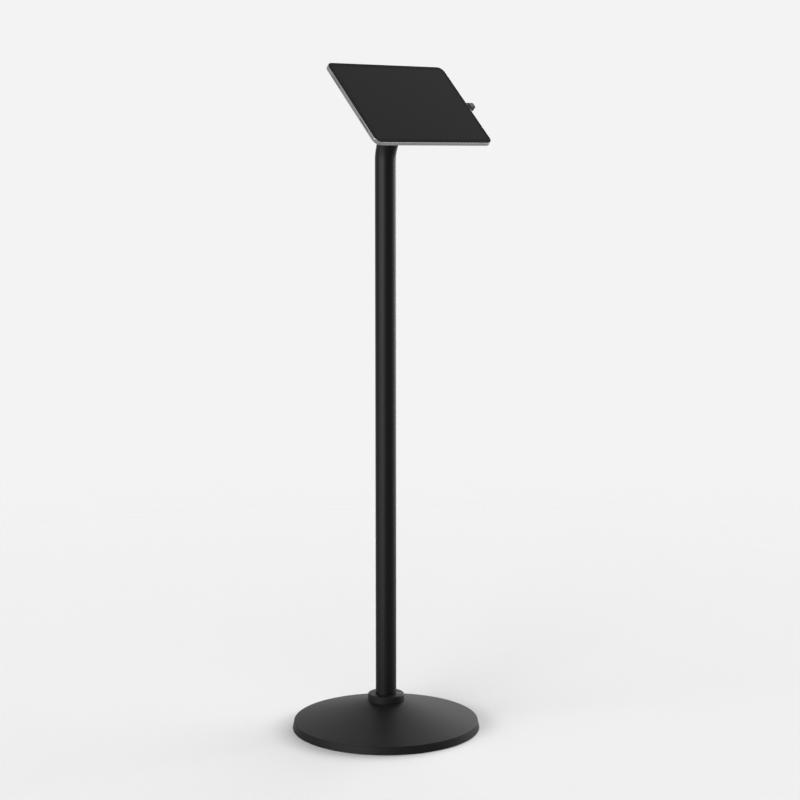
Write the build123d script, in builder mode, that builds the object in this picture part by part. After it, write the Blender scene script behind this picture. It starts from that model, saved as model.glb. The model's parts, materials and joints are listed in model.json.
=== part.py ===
from build123d import *
import os
from math import cos, radians, sin, tan

os.makedirs("parts", exist_ok=True)

# Base: a low cone on the floor
base_diameter = 318.4
side_inset = 2.8
floor_gap = 1.5
crease_height = 14.0
base_height = 47.3
cover_wall = 2.5
plate_bottom = 2.5
plate_thickness = 9.0
rim_clearance = 0.6
foot_width = 14.0
foot_inset = 4.0
foot_edge = 0.6

# Pole: one bent tube
pole_diameter = 35.0
pole_wall = 2.0
pole_foot = 18.0
bend_start = 958.8
bend_radius = 70.0
tilt = 45.0
neck_length = 32.5

# Collar and the hub below it
collar_width = 13.3
collar_height = 12.6
collar_step = 1.0
collar_round = 2.5
base_flat_margin = 1.0
hub_flange_diameter = 110.0
hub_flange = 6.0
hub_waist_diameter = 78.0
hub_top_margin = 1.0

# Sockets of every screw, as a share of the shank
socket_share = 0.6

# Screws of the base
collar_screw_count = 3
collar_screw_angle = -45.0
collar_screw_radius = 2.5
collar_screw_length = 24.0
collar_screw_head = 4.8
hub_bolt_circle = 90.0
hub_bolt_count = 4
hub_bolt_angle = 45.0
hub_bolt_radius = 4.0
hub_bolt_length = 14.0
hub_bolt_head = 7.4

# Cable way through the pole and out at the back of the base
cable_hole_radius = 8.0
cable_radius = 2.0
grommet_height = 7.3
grommet_radius = 3.8
grommet_flange_radius = 4.6
grommet_flange = 2.0
cable_notch_width = 16.0
cable_notch_depth = 10.0

# Swivel at the end of the neck, heights counted from the end of the tube
insert_depth = 24.0
flange_diameter = 50.0
flange_thickness = 3.5
washer_thickness = 1.0
washer_inset = 1.0
spigot_diameter = 24.0
insert_hole_radius = 5.0
spring_thickness = 0.5
spring_rise = 0.3
spring_outer_radius = 16.5
retainer_radius = 18.0
retainer_thickness = 2.5
retainer_screw_circle = 17.0
retainer_screw_count = 3
retainer_screw_radius = 1.25
retainer_screw_head = 2.3
retainer_screw_length = 9.0
stop_radius = 21.5
stop_pin_radius = 1.5
stop_pin_edge = 0.2
stop_angle = -135.0
stop_travel = 90.0

# Holder: a round housing with a face plate
holder_diameter = 96.0
holder_web = 3.0
holder_wall = 3.0
holder_cup = 9.0
holder_back_round = 4.0
face_thickness = 5.5
face_spigot = 1.5
face_edge = 0.8
face_screw_circle = 84.0
face_screw_count = 4
face_screw_angle = 45.0
face_screw_radius = 1.5
face_screw_head = 2.9
face_screw_length = 10.0
boss_radius = 3.6
magnet_radius = 6.0
magnet_thickness = 3.5
magnet_circle = 58.0
magnet_angles = (40.0, 90.0, 140.0, 220.0, 270.0, 320.0)
pad_radius = 37.0
pad_thickness = 1.0
bond_plate_radius = 35.0
bond_plate_thickness = 0.8

# Connector arm that slides in the face plate
arm_width = 10.0
arm_gap = 0.5
arm_thickness = 3.7
arm_tail = -28.0
arm_key_width = 14.0
arm_key_thickness = 1.4
arm_key_end = 34.0
arm_travel = 12.0
stop_screw_place = 10.0
stop_screw_radius = 1.5
stop_screw_recess = 0.3
stop_tip_radius = 1.0
stop_tip_reach = 0.9
stop_groove_depth = 1.2
stop_groove_gap = 0.15
arm_upright = 4.6
arm_reach = 17.1
arm_edge = 1.2
cap_round = 2.8
cap_seam = 0.2
tablet_side_gap = 0.4
plug_width = 8.25
plug_height = 2.4
plug_length = 6.4
plug_wall = 0.35
plug_back_width = 6.4
plug_back_height = 3.6
plug_back_length = 7.0
cap_screw_radius = 0.9
cap_screw_head = 1.7
cap_screw_length = 3.4
cap_screw_place = 4.2
tongue_width = 6.0
tongue_thickness = 2.6
tongue_length = 8.0
tongue_inset = 1.0

# Tablet, held landscape
tablet_width = 248.6
tablet_depth = 179.5
tablet_thickness = 7.0
tablet_corner = 12.5
back_edge_round = 1.2
front_edge = 0.35
rim_step = 0.1
rim_width = 0.7
glass_gap = 0.1
glass_thickness = 0.8
side_wall = 3.5
back_wall = 1.2
bezel = 8.0
panel_thickness = 1.6
speaker_hole_radius = 0.75
speaker_hole_pitch = 3.5
speaker_hole_count = 8
speaker_offset = 48.0
speaker_footprint = (9.0, 30.0)
speaker_gap = 0.2
port_hole = (9.0, 3.3)
port_shell = (8.9, 3.2)
port_mouth = (8.34, 2.56)
port_depth = 7.2
port_tongue = (6.2, 0.7, 5.4)
port_back = 0.6
battery_footprint = (80.0, 130.0)
battery_corner = 2.0
battery_gap = 0.4
battery_centres = (-18.0, 66.0)
board_size = (30.0, 140.0, 1.0)
board_centre = -84.0
board_clearance = 1.0
button_width = 2.6
button_proud = 0.5
button_depth = 2.3
button_fit = 0.1
button_edge = 0.2
power_button_place = (-98.0, 14.0)
volume_up_place = (-74.0, 10.0)
volume_down_place = (-62.0, 10.0)
camera_place = (-106.0, 71.0)
camera_ring_radius = 6.6
camera_lens_radius = 4.7
camera_bump = 1.1
camera_lens_thickness = 0.7
camera_module_height = 3.0

# Clearances
press_gap = 0.02
running_gap = 0.08
screw_gap = 0.1
slide_gap = 0.3
moulding_gap = 0.1

# Values that follow from the ones above
base_radius = base_diameter / 2
crease_radius = base_radius - side_inset
pole_radius = pole_diameter / 2
pole_bore = pole_radius - pole_wall
collar_radius = pole_radius + collar_width
collar_screw_circle = pole_radius + collar_radius - collar_round
base_flat_radius = collar_radius + base_flat_margin
plate_radius = crease_radius - cover_wall - rim_clearance
plate_top = plate_bottom + plate_thickness
cover_under = base_height - cover_wall
spigot_radius = spigot_diameter / 2
flange_radius = flange_diameter / 2
holder_radius = holder_diameter / 2
web_height = flange_thickness + washer_thickness
spring_height = web_height + holder_web
retainer_height = spring_height + spring_thickness + spring_rise
face_height = web_height + holder_cup
face_top = face_height + face_thickness
back_height = face_top + pad_thickness + bond_plate_thickness
front_height = back_height + tablet_thickness
middle_height = back_height + tablet_thickness / 2
arm_top = back_height - arm_gap
arm_bottom = arm_top - arm_thickness
half_width = tablet_width / 2
half_depth = tablet_depth / 2
upright_start = half_width + tablet_side_gap
upright_end = upright_start + arm_upright
arm_end = half_width + arm_reach
stop_groove_width = 2 * (stop_tip_radius + stop_groove_gap)
cap_start = upright_end + cap_seam
tongue_height = arm_bottom + tongue_inset + tongue_thickness / 2
panel_top = front_height - glass_thickness
inner_floor = back_height + back_wall
inner_depth = panel_top - panel_thickness - inner_floor

# The neck's own frame: X to the tablet's right, Y up along its slope, Z out of its screen
neck_axis = Vector(0, -sin(radians(tilt)), cos(radians(tilt)))
bend_drop = bend_radius * (1 - cos(radians(tilt)))
bend_rise = bend_radius * sin(radians(tilt))
neck_end = Vector(0, -bend_drop, bend_start + bend_rise) + neck_axis * neck_length
neck = Plane(origin=neck_end, x_dir=(1, 0, 0), z_dir=neck_axis)
swivel_axis = Axis(neck_end, neck_axis)


def side_plane(across):
    """The plane at this distance to the tablet's right: its X runs up the slope, its Y out of the screen."""
    return Plane(origin=neck.from_local_coords((across, 0, 0)), x_dir=neck.y_dir, z_dir=neck.x_dir)


def slope_plane(up):
    """The plane this far up the slope, seen from above: its X runs right, its Y out of the screen."""
    return Plane(origin=neck.from_local_coords((0, up, 0)), x_dir=neck.x_dir, z_dir=-neck.y_dir)


def screw_group(seat, circle, count, angle, shank_radius, length, head_radius):
    """Flat-head socket screws on a circle, heads flush with the seat, shanks running against its normal."""
    head_height = head_radius - shank_radius
    socket_radius = shank_radius * socket_share
    down = -seat
    places = [(circle / 2 * cos(radians(angle + turn * 360 / count)),
               circle / 2 * sin(radians(angle + turn * 360 / count))) for turn in range(count)]
    on_seat = [down.to_local_coords(seat.from_local_coords((x, y, 0))) for x, y in places]
    spots = [(spot.X, spot.Y) for spot in on_seat]
    with BuildPart() as screws:
        with BuildSketch(down):
            with Locations(*spots):
                Circle(head_radius)
        extrude(amount=head_height, taper=45)
        with BuildSketch(down):
            with Locations(*spots):
                Circle(shank_radius)
        extrude(amount=length)
        with BuildSketch(down):
            with Locations(*spots):
                RegularPolygon(socket_radius, 6)
        extrude(amount=head_height, mode=Mode.SUBTRACT)
    return screws


def cut_screw_seats(seat, circle, count, angle, shank_radius, head_radius, depth):
    """Countersunk clearance holes that match a screw group, cut from the seat into the part being built."""
    with Locations(seat):
        with PolarLocations(circle / 2, count, start_angle=angle):
            CounterSinkHole(shank_radius + screw_gap, head_radius + screw_gap, depth, 90)


# Base cover: a spun shell, side and cone in one
with BuildPart() as base_cover:
    with BuildSketch(Plane.XZ):
        with BuildLine():
            Polyline(
                (base_radius, floor_gap),
                (crease_radius, crease_height),
                (base_flat_radius, base_height),
                (pole_radius + slide_gap, base_height))
            offset(amount=cover_wall, side=Side.LEFT, kind=Kind.INTERSECTION)
        make_face()
    revolve(axis=Axis.Z)
    with BuildSketch(Plane.XZ.offset(-base_radius)):
        with Locations((0, grommet_height)):
            Circle(grommet_radius + screw_gap)
    extrude(amount=cable_notch_depth, mode=Mode.SUBTRACT)
    with Locations(Plane.XY.offset(base_height)):
        with PolarLocations(collar_screw_circle / 2, collar_screw_count, start_angle=collar_screw_angle):
            Hole(collar_screw_radius + screw_gap, 2 * cover_wall)
base_cover.part.label = "base_cover"
export_step(base_cover.part, "parts/base_cover.step")

# Weight plate: a steel disc inside the rim, notched where the cable passes its edge
with BuildPart() as weight_plate:
    with BuildSketch(Plane.XY.offset(plate_bottom)):
        Circle(plate_radius)
        Circle(cable_hole_radius, mode=Mode.SUBTRACT)
        with Locations((0, plate_radius)):
            Rectangle(cable_notch_width, 2 * cable_notch_depth, mode=Mode.SUBTRACT)
    extrude(amount=plate_thickness)
    cut_screw_seats(-Plane.XY.offset(plate_bottom), hub_bolt_circle, hub_bolt_count, hub_bolt_angle,
                    hub_bolt_radius, hub_bolt_head, plate_thickness)
weight_plate.part.label = "weight_plate"
export_step(weight_plate.part, "parts/weight_plate.step")

# Hub: the casting that carries the foot of the pole
with BuildPart() as hub:
    with BuildSketch(Plane.XZ):
        with BuildLine():
            Polyline(
                (cable_hole_radius, plate_top),
                (hub_flange_diameter / 2, plate_top),
                (hub_flange_diameter / 2, plate_top + hub_flange),
                (hub_waist_diameter / 2, plate_top + hub_flange),
                (collar_radius - hub_top_margin, cover_under),
                (pole_radius + press_gap, cover_under),
                (pole_radius + press_gap, pole_foot),
                (cable_hole_radius, pole_foot),
                close=True)
        make_face()
    revolve(axis=Axis.Z)
    with Locations(Plane.XY.offset(cover_under)):
        with PolarLocations(collar_screw_circle / 2, collar_screw_count, start_angle=collar_screw_angle):
            Hole(collar_screw_radius + screw_gap, collar_screw_length - cover_wall)
    with Locations(-Plane.XY.offset(plate_top)):
        with PolarLocations(hub_bolt_circle / 2, hub_bolt_count, start_angle=hub_bolt_angle):
            Hole(hub_bolt_radius + screw_gap, hub_flange)
    with BuildSketch(Plane.XZ):
        with Locations((0, plate_top + hub_flange + cable_hole_radius / 2)):
            SlotOverall(2 * cable_hole_radius, cable_hole_radius, rotation=90)
    extrude(amount=-hub_flange_diameter / 2, mode=Mode.SUBTRACT)
hub.part.label = "hub"
export_step(hub.part, "parts/hub.step")

# Hub bolts: up through the weight plate
hub_bolts = screw_group(-Plane.XY.offset(plate_bottom), hub_bolt_circle, hub_bolt_count, hub_bolt_angle,
                        hub_bolt_radius, hub_bolt_length, hub_bolt_head)
hub_bolts.part.label = "hub_bolts"
export_step(hub_bolts.part, "parts/hub_bolts.step")

# Foot ring: the rubber the stand rests on
with BuildPart() as foot_ring:
    with BuildSketch():
        Circle(plate_radius - foot_inset)
        Circle(plate_radius - foot_inset - foot_width, mode=Mode.SUBTRACT)
    extrude(amount=plate_bottom)
    chamfer(foot_ring.faces().sort_by(Axis.Z)[0].edges(), foot_edge)
foot_ring.part.label = "foot_ring"
export_step(foot_ring.part, "parts/foot_ring.step")

# Cable grommet: a rubber bush in the back of the rim
with BuildPart() as cable_grommet:
    with BuildSketch(Plane.XZ.offset(-base_radius + foot_edge)):
        with Locations((0, grommet_height)):
            Circle(grommet_radius)
    extrude(amount=cable_notch_depth - grommet_flange)
    with BuildSketch(Plane.XZ.offset(-crease_radius + cover_wall + rim_clearance)):
        with Locations((0, grommet_height)):
            Circle(grommet_flange_radius)
    extrude(amount=grommet_flange)
    with BuildSketch(Plane.XZ.offset(-base_radius)):
        with Locations((0, grommet_height)):
            Circle(cable_radius)
    extrude(amount=2 * cable_notch_depth, mode=Mode.SUBTRACT)
cable_grommet.part.label = "cable_grommet"
export_step(cable_grommet.part, "parts/cable_grommet.step")

# Collar: a turned ring around the foot of the pole, with a shadow gap below its edge
with BuildPart() as collar:
    with BuildSketch(Plane.XZ):
        with BuildLine():
            Polyline(
                (pole_radius + press_gap, base_height),
                (collar_radius - collar_step, base_height),
                (collar_radius - collar_step, base_height + collar_step),
                (collar_radius, base_height + collar_step),
                (collar_radius, base_height + collar_height),
                (pole_radius + press_gap, base_height + collar_height),
                close=True)
        make_face()
    revolve(axis=Axis.Z)
    fillet(collar.faces().sort_by(Axis.Z)[-1].edges().sort_by(SortBy.LENGTH)[-1], collar_round)
    cut_screw_seats(Plane.XY.offset(base_height + collar_height), collar_screw_circle, collar_screw_count,
                    collar_screw_angle, collar_screw_radius, collar_screw_head, collar_height)
collar.part.label = "collar"
export_step(collar.part, "parts/collar.step")

# Collar screws: down through collar and cover into the hub
collar_screws = screw_group(Plane.XY.offset(base_height + collar_height), collar_screw_circle,
                            collar_screw_count, collar_screw_angle, collar_screw_radius,
                            collar_screw_length, collar_screw_head)
collar_screws.part.label = "collar_screws"
export_step(collar_screws.part, "parts/collar_screws.step")

# Pole: a round tube, upright, then bent forward to the tablet's tilt
with BuildPart() as pole:
    with BuildLine(Plane.YZ) as pole_path:
        upright_run = Line((0, pole_foot), (0, bend_start))
        bend = JernArc(start=upright_run @ 1, tangent=upright_run % 1, radius=bend_radius, arc_size=tilt)
        Line(bend @ 1, (bend @ 1) + (bend % 1) * neck_length)
    with BuildSketch(Plane.XY.offset(pole_foot)):
        Circle(pole_radius)
        Circle(pole_bore, mode=Mode.SUBTRACT)
    sweep()
pole.part.label = "pole"
export_step(pole.part, "parts/pole.step")

# Neck insert: pressed into the tube, with the flange and spigot that the holder turns on
with BuildPart() as neck_insert:
    with BuildSketch(slope_plane(0)):
        with BuildLine():
            Polyline(
                (insert_hole_radius, -insert_depth),
                (pole_bore - press_gap, -insert_depth),
                (pole_bore - press_gap, 0),
                (flange_radius, 0),
                (flange_radius, flange_thickness),
                (spigot_radius, flange_thickness),
                (spigot_radius, retainer_height),
                (insert_hole_radius, retainer_height),
                close=True)
        make_face()
    revolve(axis=swivel_axis)
    outer_edge = neck_insert.faces().filter_by(Plane(neck_end, z_dir=neck_axis)).edges()
    chamfer(outer_edge.group_by(SortBy.LENGTH)[-1], face_edge)
    with Locations(neck.offset(flange_thickness)):
        with PolarLocations(stop_radius, 1, start_angle=stop_angle):
            Hole(stop_pin_radius + press_gap, flange_thickness)
    with Locations(neck.offset(retainer_height)):
        with PolarLocations(retainer_screw_circle / 2, retainer_screw_count):
            Hole(retainer_screw_radius + screw_gap, retainer_screw_length)
neck_insert.part.label = "neck_insert"
export_step(neck_insert.part, "parts/neck_insert.step")

# Stop pin: pressed into the flange, it limits the turn to a quarter
with BuildPart() as stop_pin:
    with BuildSketch(neck):
        with PolarLocations(stop_radius, 1, start_angle=stop_angle):
            Circle(stop_pin_radius)
    extrude(amount=spring_height)
    chamfer(stop_pin.faces().sort_by(swivel_axis)[-1].edges(), stop_pin_edge)
stop_pin.part.label = "stop_pin"
export_step(stop_pin.part, "parts/stop_pin.step")

# Friction washer: nylon, between flange and holder
with BuildPart() as friction_washer:
    with BuildSketch(neck.offset(flange_thickness)):
        Circle(flange_radius - washer_inset)
        Circle(spigot_radius + running_gap, mode=Mode.SUBTRACT)
        with PolarLocations(stop_radius, 1, start_angle=stop_angle):
            Circle(stop_pin_radius + running_gap, mode=Mode.SUBTRACT)
    extrude(amount=washer_thickness)
friction_washer.part.label = "friction_washer"
export_step(friction_washer.part, "parts/friction_washer.step")

# Disc spring: a shallow cone that presses the holder against the washer
with BuildPart() as disc_spring:
    with BuildSketch(slope_plane(0)):
        with BuildLine():
            Polyline(
                (spigot_radius + running_gap, spring_height + spring_rise),
                (spring_outer_radius, spring_height),
                (spring_outer_radius, spring_height + spring_thickness),
                (spigot_radius + running_gap, retainer_height),
                close=True)
        make_face()
    revolve(axis=swivel_axis)
disc_spring.part.label = "disc_spring"
export_step(disc_spring.part, "parts/disc_spring.step")

# Swivel retainer: the plate that keeps the holder on its spigot
with BuildPart() as swivel_retainer:
    with BuildSketch(neck.offset(retainer_height)):
        Circle(retainer_radius)
        Circle(insert_hole_radius, mode=Mode.SUBTRACT)
    extrude(amount=retainer_thickness)
    cut_screw_seats(neck.offset(retainer_height + retainer_thickness), retainer_screw_circle,
                    retainer_screw_count, 0, retainer_screw_radius, retainer_screw_head,
                    retainer_thickness)
swivel_retainer.part.label = "swivel_retainer"
export_step(swivel_retainer.part, "parts/swivel_retainer.step")

# Retainer screws
retainer_screws = screw_group(neck.offset(retainer_height + retainer_thickness), retainer_screw_circle,
                              retainer_screw_count, 0, retainer_screw_radius, retainer_screw_length,
                              retainer_screw_head)
retainer_screws.part.label = "retainer_screws"
export_step(retainer_screws.part, "parts/retainer_screws.step")

# Holder body: a round cup that turns on the spigot, with the quarter-turn slot in its web
stop_arc = CenterArc((0, 0), stop_radius, stop_angle, stop_travel)
with BuildPart() as holder_body:
    with BuildSketch(neck.offset(web_height)):
        Circle(holder_radius)
    extrude(amount=holder_cup)
    fillet(holder_body.faces().sort_by(swivel_axis)[0].edges(), holder_back_round)
    with BuildSketch(neck.offset(web_height + holder_web)):
        Circle(holder_radius - holder_wall)
    extrude(amount=holder_cup, mode=Mode.SUBTRACT)
    with BuildSketch(neck.offset(web_height)):
        with PolarLocations(face_screw_circle / 2, face_screw_count, start_angle=face_screw_angle):
            Circle(boss_radius)
    extrude(amount=holder_cup - face_spigot - moulding_gap)
    with BuildSketch(neck.offset(web_height)):
        Circle(spigot_radius + running_gap)
        SlotArc(stop_arc, 2 * (stop_pin_radius + slide_gap))
    extrude(amount=holder_web, mode=Mode.SUBTRACT)
    with Locations(neck.offset(face_height)):
        with PolarLocations(face_screw_circle / 2, face_screw_count, start_angle=face_screw_angle):
            Hole(face_screw_radius + screw_gap, holder_cup - holder_web)
holder_body.part.label = "holder_body"
export_step(holder_body.part, "parts/holder_body.step")

# Holder face: closes the cup, carries the magnets and guides the connector arm in a keyed channel
channel_start = arm_tail - 2 * slide_gap
channel_length = holder_radius - channel_start + arm_width
channel_middle = channel_start + channel_length / 2
key_bottom = arm_bottom - slide_gap
key_height = arm_key_thickness + 2 * slide_gap
spigot_bottom = face_height - face_spigot
with BuildPart() as holder_face:
    with BuildSketch(neck.offset(face_height)):
        Circle(holder_radius)
    extrude(amount=face_thickness)
    chamfer(holder_face.faces().sort_by(swivel_axis)[-1].edges(), face_edge)
    with BuildSketch(neck.offset(spigot_bottom)):
        Circle(holder_radius - holder_wall - moulding_gap)
    extrude(amount=face_spigot)
    with BuildSketch(neck.offset(key_bottom)):
        with Locations((channel_middle, 0)):
            Rectangle(channel_length, arm_key_width + 2 * slide_gap)
    extrude(amount=key_height, mode=Mode.SUBTRACT)
    with BuildSketch(neck.offset(key_bottom)):
        with Locations((channel_middle, 0)):
            Rectangle(channel_length, arm_width + 2 * slide_gap)
    extrude(amount=face_top - key_bottom, mode=Mode.SUBTRACT)
    with BuildSketch(neck.offset(face_top)):
        with Locations(*[(magnet_circle / 2 * cos(radians(turn)), magnet_circle / 2 * sin(radians(turn)))
                         for turn in magnet_angles]):
            Circle(magnet_radius + screw_gap)
    extrude(amount=-magnet_thickness, mode=Mode.SUBTRACT)
    cut_screw_seats(neck.offset(face_top), face_screw_circle, face_screw_count, face_screw_angle,
                    face_screw_radius, face_screw_head, face_thickness + face_spigot)
    with BuildSketch(neck.offset(spigot_bottom)):
        with Locations((stop_screw_place, 0)):
            Circle(stop_screw_radius + screw_gap)
    extrude(amount=key_bottom - spigot_bottom, mode=Mode.SUBTRACT)
holder_face.part.label = "holder_face"
export_step(holder_face.part, "parts/holder_face.step")

# Arm stop screw: a set screw in the floor of the channel, its tip in the groove of the arm
with BuildPart() as arm_stop_screw:
    with BuildSketch(neck.offset(spigot_bottom + stop_screw_recess)):
        with Locations((stop_screw_place, 0)):
            Circle(stop_screw_radius)
    extrude(amount=key_bottom - spigot_bottom - 2 * stop_screw_recess)
    with BuildSketch(neck.offset(key_bottom - stop_screw_recess)):
        with Locations((stop_screw_place, 0)):
            Circle(stop_tip_radius)
    extrude(amount=arm_bottom + stop_tip_reach - key_bottom + stop_screw_recess)
    with BuildSketch(neck.offset(spigot_bottom + stop_screw_recess)):
        with Locations((stop_screw_place, 0)):
            RegularPolygon(stop_screw_radius * socket_share, 6)
    extrude(amount=stop_screw_radius, mode=Mode.SUBTRACT)
arm_stop_screw.part.label = "arm_stop_screw"
export_step(arm_stop_screw.part, "parts/arm_stop_screw.step")

# Magnets: discs flush in the face
with BuildPart() as magnets:
    with BuildSketch(neck.offset(face_top)):
        with Locations(*[(magnet_circle / 2 * cos(radians(turn)), magnet_circle / 2 * sin(radians(turn)))
                         for turn in magnet_angles]):
            Circle(magnet_radius)
    extrude(amount=-magnet_thickness)
magnets.part.label = "magnets"
export_step(magnets.part, "parts/magnets.step")

# Face screws
face_screws = screw_group(neck.offset(face_top), face_screw_circle, face_screw_count, face_screw_angle,
                          face_screw_radius, face_screw_length, face_screw_head)
face_screws.part.label = "face_screws"
export_step(face_screws.part, "parts/face_screws.step")

# Face pads: silicone, one each side of the channel
channel_clearance = arm_key_width + 2 * slide_gap + 2 * arm_edge
with BuildPart() as face_pads:
    with BuildSketch(neck.offset(face_top)):
        Circle(pad_radius)
        Rectangle(2 * pad_radius, channel_clearance, mode=Mode.SUBTRACT)
    extrude(amount=pad_thickness)
face_pads.part.label = "face_pads"
export_step(face_pads.part, "parts/face_pads.step")

# Tablet plates: thin steel, bonded to the back of the tablet, where the magnets pull
with BuildPart() as tablet_plates:
    with BuildSketch(neck.offset(face_top + pad_thickness)):
        Circle(bond_plate_radius)
        Rectangle(2 * bond_plate_radius, channel_clearance, mode=Mode.SUBTRACT)
    extrude(amount=bond_plate_thickness)
tablet_plates.part.label = "tablet_plates"
export_step(tablet_plates.part, "parts/tablet_plates.step")

# Connector arm: a flat bar behind the tablet that turns up beside its edge
with BuildPart() as connector_arm:
    with BuildSketch(slope_plane(arm_width / 2)):
        with BuildLine():
            Polyline(
                (arm_tail, arm_bottom),
                (upright_end, arm_bottom),
                (upright_end, front_height),
                (upright_start, front_height),
                (upright_start, arm_top),
                (arm_tail, arm_top),
                close=True)
        make_face()
    extrude(amount=arm_width)
    runs = connector_arm.edges().filter_by(Axis(neck_end, neck.x_dir)).group_by(swivel_axis)
    fillet(runs[0] + runs[-1], arm_edge)
    with BuildSketch(neck.offset(arm_bottom)):
        with Locations(((arm_tail + arm_key_end) / 2, 0)):
            Rectangle(arm_key_end - arm_tail, arm_key_width)
    extrude(amount=arm_key_thickness)
    with BuildSketch(side_plane(upright_start)):
        with Locations((0, middle_height)):
            SlotOverall(plug_width + 2 * press_gap, plug_height + 2 * press_gap)
    extrude(amount=arm_upright, mode=Mode.SUBTRACT)
    with BuildSketch(side_plane(upright_end)):
        with Locations((0, tongue_height)):
            Rectangle(tongue_width, tongue_thickness)
    extrude(amount=tongue_length)
    with BuildSketch(neck.offset(arm_bottom)):
        with Locations((cap_start + cap_screw_place, 0)):
            Circle(cap_screw_radius + screw_gap)
    extrude(amount=arm_thickness, mode=Mode.SUBTRACT)
    with BuildSketch(neck.offset(arm_bottom)):
        with Locations((stop_screw_place - arm_travel / 2, 0)):
            SlotOverall(arm_travel + stop_groove_width, stop_groove_width)
    extrude(amount=stop_groove_depth, mode=Mode.SUBTRACT)
connector_arm.part.label = "connector_arm"
export_step(connector_arm.part, "parts/connector_arm.step")

# Connector cap: the rounded moulding at the end of the arm, hollow for the tongue and the back of the plug
cap_screw_seat = Plane(origin=neck.from_local_coords((cap_start + cap_screw_place, 0, arm_bottom)),
                       x_dir=neck.x_dir, z_dir=-neck_axis)
with BuildPart() as connector_cap:
    with BuildSketch(side_plane(cap_start)):
        with Locations((0, (arm_bottom + front_height) / 2)):
            Rectangle(arm_width, front_height - arm_bottom)
    extrude(amount=arm_end - cap_start)
    along = connector_cap.edges().filter_by(Axis(neck_end, neck.x_dir))
    fillet(along, arm_edge)
    fillet(connector_cap.faces().sort_by(Axis(neck_end, neck.x_dir))[-1].edges(), cap_round)
    with BuildSketch(side_plane(cap_start)):
        with Locations((0, middle_height)):
            Rectangle(plug_back_width + 2 * moulding_gap, plug_back_height + 2 * moulding_gap)
    extrude(amount=plug_back_length + moulding_gap, mode=Mode.SUBTRACT)
    with BuildSketch(side_plane(cap_start)):
        with Locations((0, tongue_height)):
            Rectangle(tongue_width + 2 * moulding_gap, tongue_thickness + 2 * moulding_gap)
    extrude(amount=tongue_length + moulding_gap, mode=Mode.SUBTRACT)
    with Locations(cap_screw_seat):
        CounterSinkHole(cap_screw_radius + screw_gap, cap_screw_head + screw_gap, cap_screw_length, 90)
connector_cap.part.label = "connector_cap"
export_step(connector_cap.part, "parts/connector_cap.step")

# Connector screw: from behind, through the cap into the tongue
connector_screw = screw_group(cap_screw_seat, 0, 1, 0, cap_screw_radius, cap_screw_length, cap_screw_head)
connector_screw.part.label = "connector_screw"
export_step(connector_screw.part, "parts/connector_screw.step")

# Connector plug: a flat metal shell that enters the port, with its moulded back inside the cap
with BuildPart() as connector_plug:
    with BuildSketch(side_plane(half_width - plug_length)):
        with Locations((0, middle_height)):
            SlotOverall(plug_width, plug_height)
    extrude(amount=plug_length + tablet_side_gap + arm_upright + cap_seam)
    with BuildSketch(side_plane(half_width - plug_length)):
        with Locations((0, middle_height)):
            SlotOverall(plug_width - 2 * plug_wall, plug_height - 2 * plug_wall)
    extrude(amount=plug_length, mode=Mode.SUBTRACT)
    with BuildSketch(side_plane(cap_start)):
        with Locations((0, middle_height)):
            Rectangle(plug_back_width, plug_back_height)
    extrude(amount=plug_back_length)
connector_plug.part.label = "connector_plug"
export_step(connector_plug.part, "parts/connector_plug.step")

# Enclosure: the tablet's metal tray, open to the front
sides = (-half_width, half_width)
with BuildPart() as enclosure:
    with BuildSketch(neck.offset(back_height)):
        RectangleRounded(tablet_width, tablet_depth, tablet_corner)
    extrude(amount=tablet_thickness - rim_step)
    fillet(enclosure.faces().sort_by(swivel_axis)[0].edges(), back_edge_round)
    chamfer(enclosure.faces().sort_by(swivel_axis)[-1].edges(), front_edge)
    with BuildSketch(neck.offset(panel_top)):
        RectangleRounded(tablet_width - 2 * rim_width, tablet_depth - 2 * rim_width,
                         tablet_corner - rim_width)
    extrude(amount=tablet_thickness, mode=Mode.SUBTRACT)
    with BuildSketch(neck.offset(inner_floor)):
        RectangleRounded(tablet_width - 2 * side_wall, tablet_depth - 2 * side_wall,
                         tablet_corner - side_wall)
    extrude(amount=tablet_thickness, mode=Mode.SUBTRACT)
    for side in sides:
        with BuildSketch(side_plane(side)):
            for along_side in (-speaker_offset, speaker_offset):
                with Locations((along_side, middle_height)):
                    with GridLocations(speaker_hole_pitch, 0, speaker_hole_count, 1):
                        Circle(speaker_hole_radius)
        extrude(amount=-side_wall if side > 0 else side_wall, mode=Mode.SUBTRACT)
    with BuildSketch(side_plane(half_width)):
        with Locations((0, middle_height)):
            SlotOverall(*port_hole)
    extrude(amount=-side_wall, mode=Mode.SUBTRACT)
    with BuildSketch(slope_plane(half_depth)):
        for place, length in (power_button_place, volume_up_place, volume_down_place):
            with Locations((place, middle_height)):
                SlotOverall(length + 2 * button_fit, button_width + 2 * button_fit)
    extrude(amount=side_wall, mode=Mode.SUBTRACT)
    with BuildSketch(neck.offset(back_height)):
        with Locations(camera_place):
            Circle(camera_ring_radius + moulding_gap)
    extrude(amount=back_wall, mode=Mode.SUBTRACT)
enclosure.part.label = "enclosure"
export_step(enclosure.part, "parts/enclosure.step")

# Cover glass: the whole front inside the thin metal rim
with BuildPart() as cover_glass:
    with BuildSketch(neck.offset(panel_top)):
        inset = rim_width + glass_gap
        RectangleRounded(tablet_width - 2 * inset, tablet_depth - 2 * inset, tablet_corner - inset)
    extrude(amount=glass_thickness)
    chamfer(cover_glass.faces().sort_by(swivel_axis)[-1].edges(), glass_gap)
cover_glass.part.label = "cover_glass"
export_step(cover_glass.part, "parts/cover_glass.step")

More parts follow.
